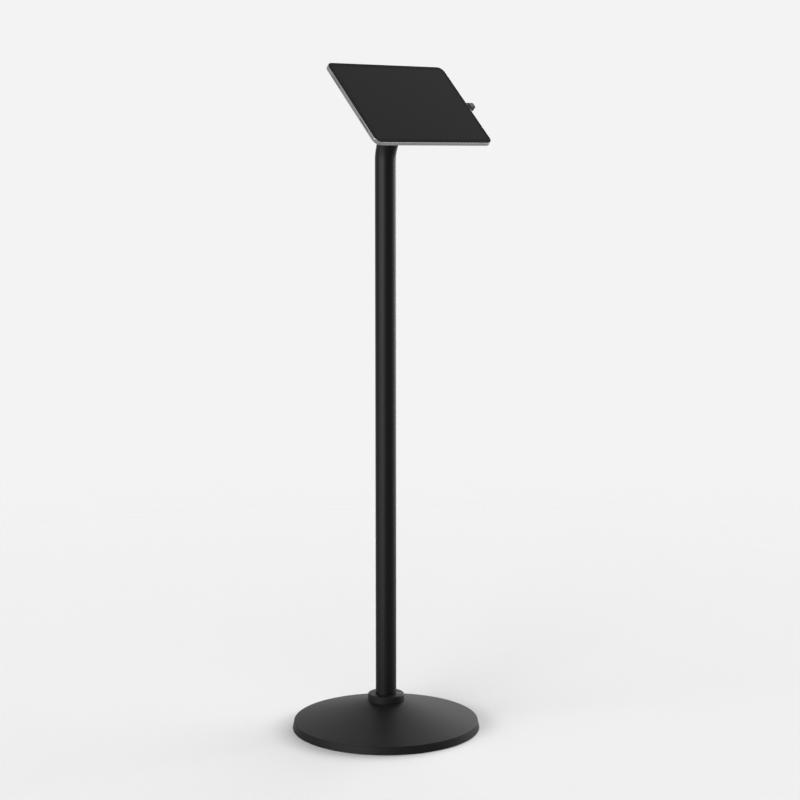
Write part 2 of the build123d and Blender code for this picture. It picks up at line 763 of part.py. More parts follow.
# Display panel
with BuildPart() as display_panel:
    with BuildSketch(neck.offset(panel_top - panel_thickness)):
        RectangleRounded(tablet_width - 2 * bezel, tablet_depth - 2 * bezel, tablet_corner - bezel)
    extrude(amount=panel_thickness)
display_panel.part.label = "display_panel"
export_step(display_panel.part, "parts/display_panel.step")

# Battery cells
with BuildPart() as battery_cells:
    with BuildSketch(neck.offset(inner_floor)):
        with Locations(*[(centre, 0) for centre in battery_centres]):
            RectangleRounded(battery_footprint[0], battery_footprint[1], battery_corner)
    extrude(amount=inner_depth - battery_gap)
battery_cells.part.label = "battery_cells"
export_step(battery_cells.part, "parts/battery_cells.step")

# Logic board, notched round the camera
with BuildPart() as logic_board:
    with BuildSketch(neck.offset(inner_floor)):
        with Locations((board_centre, 0)):
            Rectangle(board_size[0], board_size[1])
        with Locations(camera_place):
            Circle(camera_ring_radius + board_clearance, mode=Mode.SUBTRACT)
    extrude(amount=board_size[2])
logic_board.part.label = "logic_board"
export_step(logic_board.part, "parts/logic_board.step")

# Speakers: one behind each row of holes
speaker_centre = half_width - side_wall - moulding_gap - speaker_footprint[0] / 2
with BuildPart() as speakers:
    with BuildSketch(neck.offset(inner_floor)):
        with GridLocations(2 * speaker_centre, 2 * speaker_offset, 2, 2):
            Rectangle(speaker_footprint[0], speaker_footprint[1])
    extrude(amount=inner_depth - speaker_gap)
speakers.part.label = "speakers"
export_step(speakers.part, "parts/speakers.step")

# Charge port: shell with a tongue, in the middle of the right side
with BuildPart() as charge_port:
    with BuildSketch(side_plane(half_width)):
        with Locations((0, middle_height)):
            SlotOverall(*port_shell)
    extrude(amount=-port_depth)
    with BuildSketch(side_plane(half_width)):
        with Locations((0, middle_height)):
            SlotOverall(*port_mouth)
    extrude(amount=port_back - port_depth, mode=Mode.SUBTRACT)
    with BuildSketch(side_plane(half_width - port_depth)):
        with Locations((0, middle_height)):
            Rectangle(port_tongue[0], port_tongue[1])
    extrude(amount=port_tongue[2])
charge_port.part.label = "charge_port"
export_step(charge_port.part, "parts/charge_port.step")


def button(place):
    """A rounded key, proud of the top side, with room below it to travel."""
    middle, length = place
    with BuildPart() as key:
        with BuildSketch(slope_plane(half_depth + button_proud)):
            with Locations((middle, middle_height)):
                SlotOverall(length, button_width)
        extrude(amount=button_proud + button_depth)
        chamfer(key.faces().sort_by(Axis(neck_end, neck.y_dir))[-1].edges(), button_edge)
    return key


# Power and volume buttons, near the left end of the top side
power_button = button(power_button_place)
power_button.part.label = "power_button"
export_step(power_button.part, "parts/power_button.step")

volume_up_button = button(volume_up_place)
volume_up_button.part.label = "volume_up_button"
export_step(volume_up_button.part, "parts/volume_up_button.step")

volume_down_button = button(volume_down_place)
volume_down_button.part.label = "volume_down_button"
export_step(volume_down_button.part, "parts/volume_down_button.step")

# Camera on the back: ring, lens and the module behind them
with BuildPart() as camera_ring:
    with BuildSketch(neck.offset(back_height - camera_bump)):
        with Locations(camera_place):
            Circle(camera_ring_radius)
            Circle(camera_lens_radius + moulding_gap, mode=Mode.SUBTRACT)
    extrude(amount=camera_bump + back_wall)
    ring_back = camera_ring.faces().sort_by(swivel_axis)[0].edges()
    chamfer(ring_back.group_by(SortBy.LENGTH)[-1], front_edge)
camera_ring.part.label = "camera_ring"
export_step(camera_ring.part, "parts/camera_ring.step")

lens_bottom = back_height - camera_bump + moulding_gap
with BuildPart() as camera_lens:
    with BuildSketch(neck.offset(lens_bottom)):
        with Locations(camera_place):
            Circle(camera_lens_radius)
    extrude(amount=camera_lens_thickness)
camera_lens.part.label = "camera_lens"
export_step(camera_lens.part, "parts/camera_lens.step")

with BuildPart() as camera_module:
    with BuildSketch(neck.offset(lens_bottom + camera_lens_thickness)):
        with Locations(camera_place):
            Circle(camera_lens_radius)
    extrude(amount=camera_module_height)
camera_module.part.label = "camera_module"
export_step(camera_module.part, "parts/camera_module.step")
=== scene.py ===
import json
from math import pi, radians, tau

import bmesh
import bpy
import numpy as np
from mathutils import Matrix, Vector


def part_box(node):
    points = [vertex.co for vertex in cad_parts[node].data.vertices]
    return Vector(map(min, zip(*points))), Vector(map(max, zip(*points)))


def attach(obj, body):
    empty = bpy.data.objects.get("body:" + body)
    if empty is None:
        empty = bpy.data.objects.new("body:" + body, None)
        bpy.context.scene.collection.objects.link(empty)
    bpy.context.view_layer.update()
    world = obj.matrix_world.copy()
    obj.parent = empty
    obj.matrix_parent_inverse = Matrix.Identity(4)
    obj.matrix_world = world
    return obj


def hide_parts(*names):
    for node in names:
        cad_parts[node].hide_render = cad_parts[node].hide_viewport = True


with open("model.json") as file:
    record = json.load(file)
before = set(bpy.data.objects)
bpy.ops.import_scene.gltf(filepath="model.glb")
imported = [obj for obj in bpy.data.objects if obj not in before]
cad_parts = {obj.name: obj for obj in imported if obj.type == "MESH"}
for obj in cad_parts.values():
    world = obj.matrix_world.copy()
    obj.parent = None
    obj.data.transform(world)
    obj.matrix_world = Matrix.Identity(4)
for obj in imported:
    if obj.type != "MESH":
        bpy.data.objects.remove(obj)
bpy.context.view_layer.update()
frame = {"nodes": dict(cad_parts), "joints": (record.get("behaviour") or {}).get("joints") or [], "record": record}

# A tablet floor stand: a weighted cone, a bent pole, and a turning holder with the tablet and its connector.
# Metres, with +Z up. The pole stands on the origin and bends towards -Y, where the screen faces.

MM = 0.001

# Camera: fitted to the edges of the tablet, the pole and the base
CAMERA_PLACE = (-2.0224, -2.3869, 0.9655)
CAMERA_PITCH = 7.34
CAMERA_HEADING = 40.71
CAMERA_LENS = 85.0
CAMERA_SENSOR = 36.0
CAMERA_REACH = 100.0

CAMERA_RIGHT = Vector((np.cos(radians(CAMERA_HEADING)), -np.sin(radians(CAMERA_HEADING)), 0))
CAMERA_AHEAD = Vector((np.sin(radians(CAMERA_HEADING)), np.cos(radians(CAMERA_HEADING)), 0))

# Stage: tones as they should look, from 0 to 255, the distances over which the floor fades, the even light
FLOOR_TONE = 248
FLOOR_ROUGHNESS = 0.9
FLOOR_REACH = 12.0
FADE_START = 0.25
FADE_END = 3.0
BACKDROP_TONE = 243
AMBIENT = 0.05

# Softboxes: name, turn to the camera's right, elevation, angle across, strength
SOFTBOXES = (
    ("left_front_softbox", -30, 8, 34, 3.55),
    ("left_softbox", -60, 8, 34, 2.55),
    ("front_top_softbox", 0, 60, 34, 0.38),
    ("right_softbox", 90, 8, 34, 0.55),
    ("right_high_softbox", 105, 20, 34, 0.86),
    ("right_back_softbox", 120, 8, 34, 1.98),
    ("back_right_softbox", 150, 8, 34, 1.35),
    ("back_right_high_softbox", 150, 32, 34, 0.74),
    ("back_high_softbox", 180, 32, 34, 0.39),
)

# Sizes that the CAD nodes' boxes don't give, in metres

# Base cover
SIDE_INSET = 2.8 * MM
CREASE_HEIGHT = 14.0 * MM
CREASE_ROUND = 0.8 * MM
COVER_WALL = 2.5 * MM
COVER_LIP_ROUND = 0.4 * MM
CREASE_DROP = 0.8 * COVER_WALL
FLAT_MARGIN = 1.0 * MM
FLAT_UNDERCUT = 0.3 * MM
GROMMET_BORE = 3.9 * MM
GROMMET_HEIGHT = 7.3 * MM
GROMMET_REACH = 12.0 * MM

# Pole
POLE_WALL = 2.0 * MM
BEND_RADIUS = 70.0 * MM
NECK_LENGTH = 32.5 * MM

# Collar
COLLAR_STEP = 1.0 * MM
COLLAR_EDGE = 0.3 * MM
COLLAR_ROUND = 2.5 * MM
COLLAR_SEAT = 4.9 * MM
COLLAR_SHANK = 2.6 * MM
COLLAR_SCREW_ANGLES = (-45, 75, 195)

# Face of the holder: its groove and edges, the arm's channel, and the seats of magnets and screws
FACE_SPIGOT = 1.5 * MM
FACE_SPIGOT_INSET = 3.1 * MM
FACE_GROOVE = 1.0 * MM
FACE_SEAM_ROUND = 0.6 * MM
FACE_EDGE_ROUND = 0.8 * MM
FACE_FLAT_INSET = 4.0 * MM
CHANNEL_END = 28.6 * MM
CHANNEL_RUN_OUT = 10.0 * MM
KEY_FLOOR = 2.8 * MM
KEY_ROOF = 4.8 * MM
KEY_HALF = 7.3 * MM
BAR_HALF = 5.3 * MM
CHANNEL_CORNER = 0.1 * MM
MAGNET_CIRCLE = 29.0 * MM
MAGNET_RADIUS = 6.1 * MM
MAGNET_DEPTH = 3.5 * MM
MAGNET_ANGLES = (40, 90, 140, 220, 270, 320)
FACE_SCREW_CIRCLE = 42.0 * MM
FACE_SCREW_ANGLES = (45, 135, 225, 315)
FACE_SCREW_SEAT = 3.0 * MM
FACE_SCREW_SHANK = 1.6 * MM
ARM_STOP_PLACE = 10.0 * MM
ARM_STOP_RADIUS = 1.6 * MM
ARM_STOP_PAST = 0.5 * MM

# Cup of the holder: its wall and web, its bosses, and the slot of the stop pin, with angles in degrees
HOLDER_WEB = 3.0 * MM
HOLDER_WALL = 3.0 * MM
HOLDER_BACK_ROUND = 4.0 * MM
HOLDER_LIP_ROUND = 0.3 * MM
HOLDER_WEB_ROUND = 0.5 * MM
BOSS_RADIUS = 3.6 * MM
BOSS_BORE = 1.7 * MM
BOSS_GAP = 0.1 * MM
STOP_RADIUS = 21.5 * MM
STOP_START = -135.0
STOP_TRAVEL = 90.0
STOP_SLOT = 3.6 * MM

# Tablet: keys are given by their place to the right of the middle and their length
TABLET_CORNER = 12.5 * MM
TRAY_WALL = 3.5 * MM
TRAY_FLOOR = 1.2 * MM
TRAY_BACK_ROUND = 1.2 * MM
RIM_WIDTH = 0.7 * MM
RIM_ROUND = 0.6 * MM
RIM_BEVEL = 0.05 * MM
GLASS_GAP = 0.1 * MM
GLASS_EDGE_ROUND = 0.15 * MM
SPEAKER_OFFSET = 48.0 * MM
SPEAKER_PITCH = 3.5 * MM
SPEAKER_HOLES = 8
SPEAKER_RADIUS = 1.0 * MM
PORT_HALF_LENGTH = 4.5 * MM
PORT_HALF_HEIGHT = 1.65 * MM
BUTTONS = {"power_button": (-98.0 * MM, 14.0 * MM), "volume_up_button": (-74.0 * MM, 10.0 * MM),
           "volume_down_button": (-62.0 * MM, 10.0 * MM)}
BUTTON_GAP = 0.1 * MM
BUTTON_SLOT_HALF = 1.4 * MM
BUTTON_EDGE_ROUND = 0.25 * MM
CAMERA_SPOT = (-106.0 * MM, 71.0 * MM)
CAMERA_BORE = 6.7 * MM
CAMERA_RING_WIDTH = 1.8 * MM
CAMERA_RING_ROUND = 0.4 * MM
CAMERA_RING_INNER_ROUND = 0.15 * MM
LENS_FALL = 0.1 * MM

# Cap at the arm's end, and the seat of its screw
ARM_EDGE = 1.2 * MM
CAP_ROUND = 2.8 * MM
CAP_FOOT_ROUND = 0.2 * MM
CAP_SCREW_PLACE = 4.2 * MM
CAP_SCREW_DEPTH = 3.4 * MM
CAP_SCREW_SEAT = 1.8 * MM
CAP_SCREW_SHANK = 1.0 * MM

# How far a cutting shape stands past what it cuts
PAST = 1.0 * MM
SEAT_PAST = 0.5 * MM

# CAD nodes with a finish of their own within their slot
NODE_FINISHES = {"connector_arm": "arm_coat"}

# Steps round a turned piece or the tablet's outline, and round larger and smaller circles
STEPS_ROUND = 192
STEPS_ROUND_BASE = 256
STEPS_ROUND_SMALL = 96
STEPS_ROUND_POCKET = 64
STEPS_ROUND_SLOT = 48
STEPS_ROUND_BORE = 32
STEPS_ROUND_HOLE = 24
STEPS_ROUND_CHANNEL = 8

# Steps in each rounded corner of a profile, along the pole's bend and straight run, and across the lens
STEPS_PER_CORNER = 5
STEPS_PER_CUP_CORNER = 8
STEPS_PER_CAP_CORNER = 12
STEPS_IN_BEND = 32
STEPS_IN_POLE = 8
STEPS_IN_LENS = 8

# Angle in degrees between two faces that still shade as one
SHARP_ANGLE = 35.0
SHARP_ANGLE_BASE = 20.0

# Dust: its colour, and how much duller it makes a finish
DUST_COLOUR = (0.45, 0.44, 0.42, 1.0)
DUST_DULLNESS = 0.5

# Roughness of the clear coat on glass that has one
COAT_ROUGHNESS = 0.05

# A Mix node's colour sockets, by number because their names repeat
MIX_SHARE = 0
MIX_FIRST = 6
MIX_SECOND = 7
MIX_RESULT = 2

# The neck's own frame, read from the joint that the holder turns on
SWIVEL = next(joint for joint in frame["joints"] if joint["name"] == "swivel")
NECK_END = np.array(SWIVEL["pos_m"], float)
OUT = -np.array(SWIVEL["axis"], float)
RIGHT = np.array((1.0, 0.0, 0.0))
UP_SLOPE = np.cross(OUT, RIGHT)
NECK_AXES = np.stack((RIGHT, UP_SLOPE, OUT), axis=1)


def node_points(node):
    """The vertices of a CAD node as an array of points."""
    mesh = frame["nodes"][node].data
    points = np.empty(len(mesh.vertices) * 3)
    mesh.vertices.foreach_get("co", points)
    return points.reshape(-1, 3)


def held_box(node):
    """Lowest and highest corner of a CAD node, counted right, up the slope and out of the screen."""
    local = (node_points(node) - NECK_END) @ NECK_AXES
    return local.min(axis=0), local.max(axis=0)


# Places: each turns points (a, b, height) of a shape's own frame into the row's frame

def upright(centre_x=0.0, centre_y=0.0):
    """Height along +Z, about a vertical line."""
    return lambda points: points + np.array((centre_x, centre_y, 0.0))


def rearward(centre_z):
    """Height along +Y, a along +X, b along +Z from this height above the floor."""
    return lambda points: np.stack((points[..., 0], points[..., 2], points[..., 1] + centre_z), axis=-1)


def outward(centre_right=0.0, centre_up=0.0):
    """Height out of the screen, about a line this far right and up the slope."""
    centre = np.array((centre_right, centre_up, 0.0))
    return lambda points: NECK_END + (points + centre) @ NECK_AXES.T


def sideways(centre_up, centre_out):
    """Height to the right, a up the slope, b out of the screen."""
    return lambda points: NECK_END + np.stack(
        (points[..., 2], points[..., 0] + centre_up, points[..., 1] + centre_out),
        axis=-1) @ NECK_AXES.T


def upslope(centre_right, centre_out):
    """Height up the slope, a to the right, b out of the screen."""
    return lambda points: NECK_END + np.stack(
        (points[..., 0] + centre_right, points[..., 2], points[..., 1] + centre_out),
        axis=-1) @ NECK_AXES.T


# Shapes as grids of points

def rounded_profile(corners, steps=STEPS_PER_CORNER):
    """A closed profile through corners (x, y, radius): each corner becomes an arc tangent to its two runs.

    An arc of radius r starts r / tan(half the inner angle) before its corner, and turns about a centre on
    the corner's bisector, r / sin(half the inner angle) away.
    """
    places = np.array([corner[:2] for corner in corners], float)
    radii = [corner[2] for corner in corners]
    before = np.roll(places, 1, axis=0) - places
    after = np.roll(places, -1, axis=0) - places
    before /= np.linalg.norm(before, axis=1, keepdims=True)
    after /= np.linalg.norm(after, axis=1, keepdims=True)
    runs = []
    for place, radius, back, ahead in zip(places, radii, before, after):
        if radius == 0:
            runs.append(place[None, :])
            continue
        half = np.arccos(np.clip(back @ ahead, -1, 1)) / 2
        middle = (back + ahead) / np.linalg.norm(back + ahead)
        centre = place + middle * radius / np.sin(half)
        first = place + back * radius / np.tan(half) - centre
        last = place + ahead * radius / np.tan(half) - centre
        share = np.linspace(0, 1, steps + 1)[:, None]
        turn = pi - 2 * half
        swing = np.sin((1 - share) * turn) * first + np.sin(share * turn) * last
        runs.append(centre + swing / np.sin(turn))
    return np.concatenate(runs)


def edge_round(height, radius, top=True, steps=STEPS_PER_CORNER):
    """Profile points (inset, height) of a quarter round that ends a side wall at this height.

    At angle t from the wall the inset is radius * (1 - cos t), and the height is radius * (1 - sin t)
    short of the edge.
    """
    turn = np.linspace(0, pi / 2, steps + 1)
    inset = radius * (1 - np.cos(turn))
    short = radius * (1 - np.sin(turn))
    if top:
        return np.stack((inset, height - short), axis=1)
    return np.stack((inset, height + short), axis=1)[::-1]


def ring_outline(count, half_width, half_depth, corner):
    """A rounded rectangle as count points, and the outward direction at each.

    The angle runs evenly round four quarter circles of radius corner, whose centres stand in from the
    sides. A circle is the case where the half sides are the corner's radius.
    """
    angle = (np.arange(count) + 0.5) / count * tau
    away = np.stack((np.cos(angle), np.sin(angle)), axis=1)
    centres = np.sign(away) * np.array((half_width - corner, half_depth - corner))
    return centres + corner * away, away


def arc_outline(count, radius, start, travel, half_width):
    """A slot bent round the origin as 4 * count points, and the outward direction at each.

    Its long sides are arcs at radius + half_width and radius - half_width, and its ends are half circles of
    half_width.
    """
    share = np.linspace(0, 1, count, endpoint=False)
    outer = start + share * travel
    inner = start + (1 - share) * travel
    far_end = start + travel + share * pi
    near_end = start + pi + share * pi
    turns = [(outer, outer, 1), (np.full(count, start + travel), far_end, 1),
             (inner, inner + pi, 1), (np.full(count, start), near_end, 1)]
    centres = np.concatenate([np.stack((np.cos(at), np.sin(at)), axis=1) for at, _, _ in turns]) * radius
    away = np.concatenate([np.stack((np.cos(to), np.sin(to)), axis=1) for _, to, _ in turns])
    return centres + half_width * away, away


def moulded(outline, profile, place):
    """A grid of points: the outline moved in by each profile point's first value, raised by its second."""
    rim, away = outline
    profile = np.asarray(profile, float)
    flat = rim[:, None, :] - away[:, None, :] * profile[None, :, 0:1]
    height = np.broadcast_to(profile[None, :, 1:2], flat.shape[:2] + (1,))
    return place(np.concatenate((flat, height), axis=2))


def turned(profile, place, count=STEPS_ROUND):
    """A grid of points: a profile of (radius, height) carried round the axis of its place."""
    angle = np.arange(count) / count * tau
    profile = np.asarray(profile, float)
    across = np.cos(angle)[:, None] * profile[None, :, 0]
    along = np.sin(angle)[:, None] * profile[None, :, 0]
    height = np.broadcast_to(profile[None, :, 1], across.shape)
    return place(np.stack((across, along, height), axis=2))


def grid_faces(rows, columns, close_columns):
    """Four-cornered faces over a grid whose rows close, and whose columns may close too."""
    row = np.arange(rows)[:, None]
    column = np.arange(columns if close_columns else columns - 1)[None, :]
    next_row, next_column = (row + 1) % rows, (column + 1) % columns
    corners = [row * columns + column, next_row * columns + column,
               next_row * columns + next_column, row * columns + next_column]
    return np.stack([np.broadcast_to(c, (rows, column.size)).ravel() for c in corners], axis=1)


def make_mesh(name, grids, ringed=False):
    """A mesh object from grids of points whose rows close. Their columns close too if ringed, and else each
    grid ends in two flat caps.
    """
    points, faces, base = [], [], 0
    for grid in grids:
        rows, columns = grid.shape[:2]
        points.append(grid.reshape(-1, 3))
        faces += (grid_faces(rows, columns, ringed) + base).tolist()
        if not ringed:
            ring = np.arange(rows) * columns + base
            faces += [ring.tolist(), (ring + columns - 1).tolist()]
        base += rows * columns
    mesh = bpy.data.meshes.new(name)
    mesh.from_pydata(np.concatenate(points), [], faces)
    mesh.update()
    work = bmesh.new()
    work.from_mesh(mesh)
    bmesh.ops.recalc_face_normals(work, faces=work.faces)
    work.to_mesh(mesh)
    work.free()
    piece = bpy.data.objects.new(name, mesh)
    bpy.context.collection.objects.link(piece)
    return piece


def carve(piece, tool):
    """Takes a tool's solids out of a piece, and removes the tool."""
    change = piece.modifiers.new("carve", "BOOLEAN")
    change.operation = "DIFFERENCE"
    change.solver = "EXACT"
    change.object = tool
    shaped = bpy.data.meshes.new_from_object(piece.evaluated_get(bpy.context.evaluated_depsgraph_get()))
    piece.modifiers.clear()
    piece.data = shaped
    bpy.data.objects.remove(tool)


def join(piece, other):
    """Adds the solids of another mesh to a piece, and removes the other."""
    work = bmesh.new()
    work.from_mesh(piece.data)
    work.from_mesh(other.data)
    work.to_mesh(piece.data)
    work.free()
    bpy.data.objects.remove(other)


def around(radius, degrees):
    """A place on a circle about the axis, from its radius and its angle."""
    return radius * np.cos(radians(degrees)), radius * np.sin(radians(degrees))


def seat_tool(place, top, bottom, head, shank):
    """The space of a countersunk screw: a cone of 45 degrees below the seat, then the shank's hole."""
    depth = top - (head - shank) * np.sign(top - bottom)
    past = SEAT_PAST * np.sign(top - bottom)
    profile = [(head + SEAT_PAST, top + past), (head, top), (shank, depth), (shank, bottom - past)]
    return turned(profile, place, STEPS_ROUND_SLOT)


# Materials

def group_socket(tree, name, kind, direction, value=None):
    """A named socket on a node group."""
    socket = tree.interface.new_socket(name=name, in_out=direction, socket_type=kind)
    if value is not None:
        socket.default_value = value
    return socket


def new_group(name, inputs, outputs):
    """An empty node group with number inputs and the given outputs, and its two end nodes."""
    tree = bpy.data.node_groups.new(name, "ShaderNodeTree")
    for label, value in inputs.items():
        group_socket(tree, label, "NodeSocketFloat", "INPUT", value)
    for label, kind in outputs.items():
        group_socket(tree, label, kind, "OUTPUT")
    return tree, tree.nodes.new("NodeGroupInput"), tree.nodes.new("NodeGroupOutput")


def add_node(tree, kind, links=(), **values):
    """A node with its inputs linked to sockets or set to values by name or number."""
    node = tree.nodes.new(kind)
    for key, value in values.items():
        setattr(node, key, value)
    for key, value in dict(links).items():
        if isinstance(value, bpy.types.NodeSocket):
            tree.links.new(value, node.inputs[key])
        else:
            node.inputs[key].default_value = value
    return node


def math_node(tree, operation, first, second=0.0, clamp=False):
    """The output of one sum, product or the like."""
    node = add_node(tree, "ShaderNodeMath", {0: first, 1: second}, operation=operation, use_clamp=clamp)
    return node.outputs[0]


def object_place(tree):
    """Object coordinates."""
    return tree.nodes.new("ShaderNodeTexCoord").outputs["Object"]


def make_grain_group():
    """Fine even grain for bump and roughness, and a slow mottle, both from the object's coordinates."""
    tree, given, result = new_group(
        "fine_grain", {"Grain Size": 0.0006, "Mottle Size": 0.06},
        {"Grain": "NodeSocketFloat", "Mottle": "NodeSocketFloat"})
    place = object_place(tree)
    fine = math_node(tree, "DIVIDE", 1.0, given.outputs["Grain Size"])
    slow = math_node(tree, "DIVIDE", 1.0, given.outputs["Mottle Size"])
    grain = add_node(tree, "ShaderNodeTexNoise",
                     {"Vector": place, "Scale": fine, "Detail": 2.0, "Roughness": 0.6})
    mottle = add_node(tree, "ShaderNodeTexNoise",
                      {"Vector": place, "Scale": slow, "Detail": 3.0, "Roughness": 0.55})
    tree.links.new(grain.outputs["Fac"], result.inputs["Grain"])
    tree.links.new(mottle.outputs["Fac"], result.inputs["Mottle"])
    return tree


def make_dust_group():
    """A thin film of dust on what faces up: the square of the normal's height times a cloudy mask."""
    tree, given, result = new_group("settled_dust", {"Amount": 0.1}, {"Dust": "NodeSocketFloat"})
    normal = tree.nodes.new("ShaderNodeNewGeometry").outputs["Normal"]
    height = add_node(tree, "ShaderNodeSeparateXYZ", {0: normal}).outputs["Z"]
    upward = math_node(tree, "MAXIMUM", height, 0.0)
    squared = math_node(tree, "MULTIPLY", upward, upward)
    cloud = add_node(tree, "ShaderNodeTexNoise",
                     {"Vector": object_place(tree), "Scale": 14.0, "Detail": 6.0, "Roughness": 0.65})
    film = math_node(tree, "MULTIPLY", squared, cloud.outputs["Fac"])
    amount = math_node(tree, "MULTIPLY", film, given.outputs["Amount"], clamp=True)
    tree.links.new(amount, result.inputs["Dust"])
    return tree


GRAIN = make_grain_group()
DUST = make_dust_group()


def spread(tree, mask, low, high):
    """A mask from 0 to 1 stretched between two values."""
    node = add_node(tree, "ShaderNodeMapRange", {"Value": mask, "To Min": low, "To Max": high})
    return node.outputs["Result"]


def finish_material(name, colour, roughness, specular=0.5, metallic=0.0, grain_size=0.0006, bump=0.02,
                    roughness_range=0.05, tone_range=0.06, mottle_size=0.06, dust=0.0, coat=0.0):
    """A solid finish: grain in bump and roughness, a slow mottle in the colour, dust on what faces up."""
    material = bpy.data.materials.new(name)
    material.use_nodes = True
    tree = material.node_tree
    shader = tree.nodes["Principled BSDF"]
    grain = add_node(tree, "ShaderNodeGroup", node_tree=GRAIN)
    grain.inputs["Grain Size"].default_value = grain_size
    grain.inputs["Mottle Size"].default_value = mottle_size
    mottle = spread(tree, grain.outputs["Mottle"], 1 - tone_range, 1 + tone_range)
    base = add_node(tree, "ShaderNodeVectorMath", {0: colour, "Scale": mottle}, operation="SCALE")
    film = add_node(tree, "ShaderNodeGroup", node_tree=DUST)
    film.inputs["Amount"].default_value = dust
    dusty = add_node(tree, "ShaderNodeMix",
                     {MIX_SHARE: film.outputs["Dust"], MIX_FIRST: base.outputs[0], MIX_SECOND: DUST_COLOUR},
                     data_type="RGBA")
    tree.links.new(dusty.outputs[MIX_RESULT], shader.inputs["Base Color"])
    rough = spread(tree, grain.outputs["Grain"], roughness - roughness_range, roughness + roughness_range)
    duller = math_node(tree, "MULTIPLY", film.outputs["Dust"], DUST_DULLNESS)
    tree.links.new(math_node(tree, "ADD", rough, duller, clamp=True), shader.inputs["Roughness"])
    relief = add_node(tree, "ShaderNodeBump",
                      {"Height": grain.outputs["Grain"], "Strength": bump, "Distance": grain_size})
    tree.links.new(relief.outputs["Normal"], shader.inputs["Normal"])
    shader.inputs["Metallic"].default_value = metallic
    shader.inputs["Specular IOR Level"].default_value = specular
    if coat:
        shader.inputs["Coat Weight"].default_value = coat
        shader.inputs["Coat Roughness"].default_value = COAT_ROUGHNESS
    return material


def tone(value):
    """A grey written as it should look, from 0 to 255, as a linear colour."""
    share = value / 255
    linear = share / 12.92 if share <= 0.04045 else ((share + 0.055) / 1.055) ** 2.4
    return (linear, linear, linear)


MATERIALS = {
    "powder_coat": finish_material("pole_coat", tone(7), 0.40, 0.09, bump=0.10, dust=0.002),
    "shell_coat": finish_material("shell_coat", tone(20), 0.46, 0.047, bump=0.12, dust=0.002),
    "arm_coat": finish_material("arm_coat", tone(5), 0.55, 0.04, bump=0.10, dust=0.002),
    "black_steel": finish_material("black_oxide_steel", tone(18), 0.45, 0.2, metallic=0.2, bump=0.05),
    "bare_steel": finish_material("turned_steel", tone(178), 0.30, metallic=1.0, bump=0.03),
    "rubber": finish_material("black_rubber", tone(26), 0.75, 0.3, bump=0.15, dust=0.05),
    "nylon": finish_material("black_nylon", tone(22), 0.5, 0.3),
    "moulding": finish_material("spark_textured_moulding", tone(14), 0.52, 0.15, grain_size=0.0008,
                                bump=0.2),
    "cap_grey": finish_material("grey_moulding", tone(41), 0.5, 0.26, grain_size=0.0008, bump=0.15),
    "silicone": finish_material("black_silicone", tone(32), 0.6, 0.3, bump=0.05),
    "magnet": finish_material("nickel_plate", tone(190), 0.22, metallic=1.0, bump=0.01),
    "tablet_metal": finish_material("anodised_aluminium", tone(134), 0.24, metallic=1.0,
                                    grain_size=0.00025, bump=0.04, tone_range=0.03),
    "glass": finish_material("bezel_glass", tone(4), 0.07, 0.078, bump=0.0, roughness_range=0.01),
    "panel": finish_material("display_glass", tone(21), 0.07, 0.078, bump=0.0, roughness_range=0.01),
    "cell": finish_material("battery_film", tone(40), 0.4),
    "board": finish_material("solder_mask", (0.01, 0.05, 0.03), 0.35),
    "speaker": finish_material("speaker_moulding", tone(30), 0.6),
    "port_steel": finish_material("port_steel", tone(120), 0.28, metallic=1.0, bump=0.02),
    "lens": finish_material("lens_glass", (0.004, 0.005, 0.010), 0.03, 0.6, bump=0.0, coat=0.5),
}


def dress(piece, slot, body, replaced, sharp=SHARP_ANGLE, finish=None):
    """Smooths a piece between its edges, gives it its finish and its body, and hides the CAD nodes it stands for.
    """
    mesh = piece.data
    mesh.polygons.foreach_set("use_smooth", np.ones(len(mesh.polygons), bool))
    mesh.set_sharp_from_angle(angle=radians(sharp))
    even = piece.modifiers.new("even_shading", "WEIGHTED_NORMAL")
    even.keep_sharp = True
    mesh.materials.clear()
    mesh.materials.append(MATERIALS[finish or slot])
    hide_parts(*replaced)
    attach(piece, body)
    return piece


# Pieces of the stand

def standing_size(node):
    """Largest and smallest radius about the pole's axis, and lowest and highest point, of a CAD node."""
    points = node_points(node)
    radius = np.hypot(points[:, 0], points[:, 1])
    return radius.max(), radius.min(), points[:, 2].min(), points[:, 2].max()


def make_base_shell():
    """The cone shell: a closed wall with a soft crease, turned about the pole and bored at the back."""
    rim, hole, bottom, top = standing_size("base_cover")
    crease = rim - SIDE_INSET
    flat = standing_size("collar")[0] + FLAT_MARGIN
    under = top - COVER_WALL
    profile = rounded_profile([
        (rim, bottom, COVER_LIP_ROUND), (crease, CREASE_HEIGHT, CREASE_ROUND), (flat, top, CREASE_ROUND),
        (hole, top, 0), (hole, under, 0), (flat - FLAT_UNDERCUT, under, 0),
        (crease - COVER_WALL, CREASE_HEIGHT - CREASE_DROP, 0), (rim - COVER_WALL, bottom, COVER_LIP_ROUND)])
    piece = make_mesh("base_shell", [turned(profile, upright(), STEPS_ROUND_BASE)], ringed=True)
    run = [(GROMMET_BORE, rim - GROMMET_REACH), (GROMMET_BORE, rim + PAST)]
    carve(piece, make_mesh("bore_tool", [turned(run, rearward(GROMMET_HEIGHT), STEPS_ROUND_BORE)]))
    return dress(piece, "powder_coat", "stand", ["base_cover"], SHARP_ANGLE_BASE, "shell_coat")


